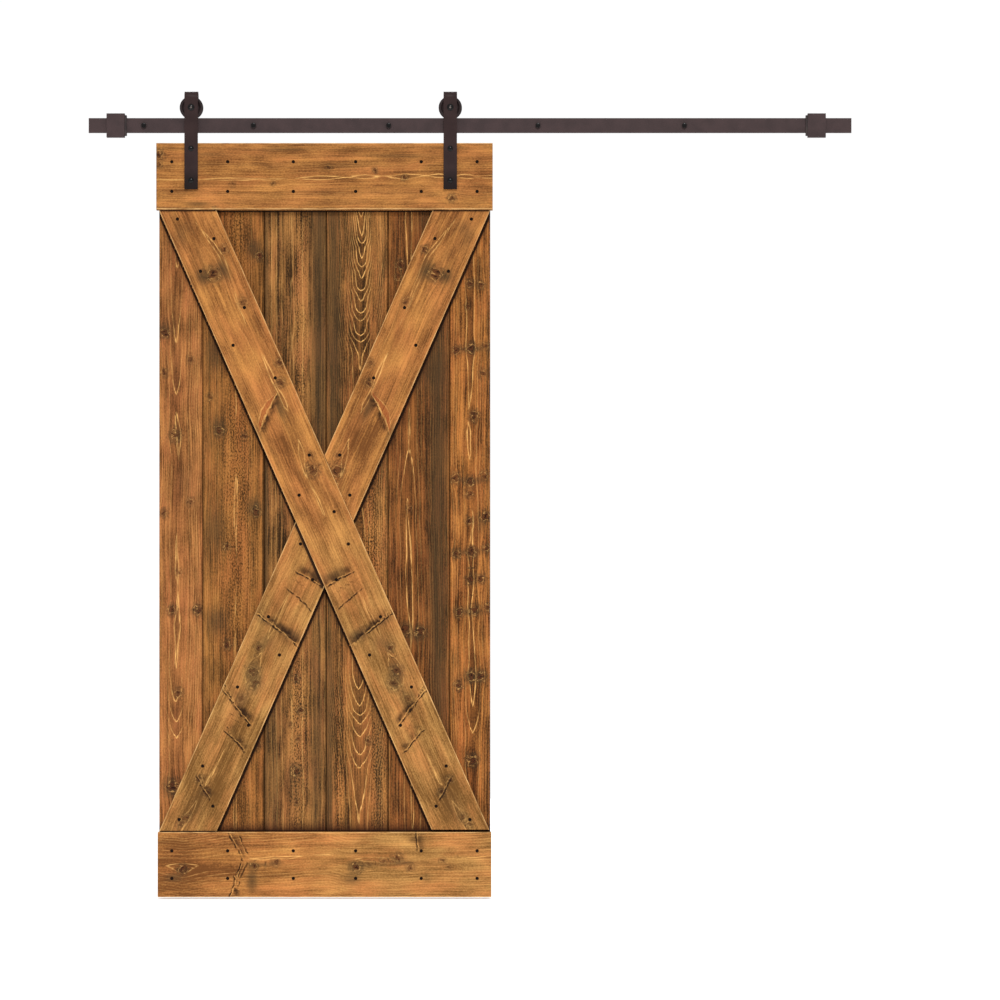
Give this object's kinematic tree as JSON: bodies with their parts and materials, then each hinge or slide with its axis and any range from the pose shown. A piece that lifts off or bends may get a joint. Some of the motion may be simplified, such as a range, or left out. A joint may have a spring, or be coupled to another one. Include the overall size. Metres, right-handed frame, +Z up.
{
  "type": "sliding barn door",
  "caption": "Plank door leaf with level boards and diagonal braces, hung from strap hangers whose grooved wheels roll on a flat steel wall rail.",
  "frame": {"origin": "on the wall plane, at the axis of the middle wall bolt", "axes": "+X right along the rail, +Y into the wall, +Z up; the face of the door looks along -Y"},
  "size_m": [2.16, 0.1096, 2.2804],
  "materials": {
    "bronze_steel": "satin dark bronze powder coat",
    "black_fasteners": "satin black oxide",
    "wheel_steel": "satin dark bronze",
    "bearing_steel": "ground bright steel",
    "buffer_rubber": "matte black rubber",
    "plank_wood": "walnut-stained knotty pine, satin varnish",
    "board_wood": "honey-stained knotty pine, satin varnish"
  },
  "bodies": {
    "root": {"rail": "bronze_steel", "rail_spacers": "bronze_steel", "wall_bolts": "black_fasteners", "wall_bolt_washers": "bronze_steel", "left_stop": "bronze_steel", "right_stop": "bronze_steel", "left_stop_buffer": "buffer_rubber", "right_stop_buffer": "buffer_rubber", "stop_set_screws": "black_fasteners"},
    "door": {"plank_1": "plank_wood", "plank_2": "plank_wood", "plank_3": "plank_wood", "plank_4": "plank_wood", "plank_5": "plank_wood", "plank_6": "plank_wood", "top_board": "board_wood", "bottom_board": "board_wood", "main_brace": "board_wood", "upper_brace": "board_wood", "lower_brace": "board_wood", "top_board_screws": "black_fasteners", "bottom_board_screws": "black_fasteners", "main_brace_screws": "black_fasteners", "upper_brace_screws": "black_fasteners", "lower_brace_screws": "black_fasteners", "left_strap": "bronze_steel", "left_axle_bolt": "black_fasteners", "left_axle_nut": "black_fasteners", "left_axle_bushes": "bearing_steel", "left_inner_ring": "bearing_steel", "left_door_bolts": "black_fasteners", "left_door_washers": "bronze_steel", "left_door_nuts": "black_fasteners", "right_strap": "bronze_steel", "right_axle_bolt": "black_fasteners", "right_axle_nut": "black_fasteners", "right_axle_bushes": "bearing_steel", "right_inner_ring": "bearing_steel", "right_door_bolts": "black_fasteners", "right_door_washers": "bronze_steel", "right_door_nuts": "black_fasteners"},
    "left_wheel_set": {"left_wheel": "wheel_steel", "left_outer_ring": "bearing_steel"},
    "left_ball_set": {"left_bearing_balls": "bearing_steel", "left_ball_cage": "bearing_steel"},
    "right_wheel_set": {"right_wheel": "wheel_steel", "right_outer_ring": "bearing_steel"},
    "right_ball_set": {"right_bearing_balls": "bearing_steel", "right_ball_cage": "bearing_steel"}
  },
  "joints": [
    {"name": "door_slide", "type": "slide", "parent": "root", "child": "door", "axis": [1, 0, 0], "range_m": [-0.1577, 0.9807]},
    {"name": "left_wheel_spin", "type": "hinge", "parent": "door", "child": "left_wheel_set", "pos_m": [-0.55854, -0.041, 0.0503], "axis": [0, 1, 0], "continuous": true},
    {"name": "left_ball_spin", "type": "hinge", "parent": "door", "child": "left_ball_set", "pos_m": [-0.55854, -0.041, 0.0503], "axis": [0, 1, 0], "continuous": true},
    {"name": "right_wheel_spin", "type": "hinge", "parent": "door", "child": "right_wheel_set", "pos_m": [0.17446, -0.041, 0.0503], "axis": [0, 1, 0], "continuous": true},
    {"name": "right_ball_spin", "type": "hinge", "parent": "door", "child": "right_ball_set", "pos_m": [0.17446, -0.041, 0.0503], "axis": [0, 1, 0], "continuous": true}
  ],
  "couplings": [
    {"joint": "left_wheel_spin", "follows": "door_slide", "rad_per_m": 34.483},
    {"joint": "left_ball_spin", "follows": "door_slide", "rad_per_m": 21.801},
    {"joint": "right_wheel_spin", "follows": "door_slide", "rad_per_m": 34.483},
    {"joint": "right_ball_spin", "follows": "door_slide", "rad_per_m": 21.801}
  ]
}
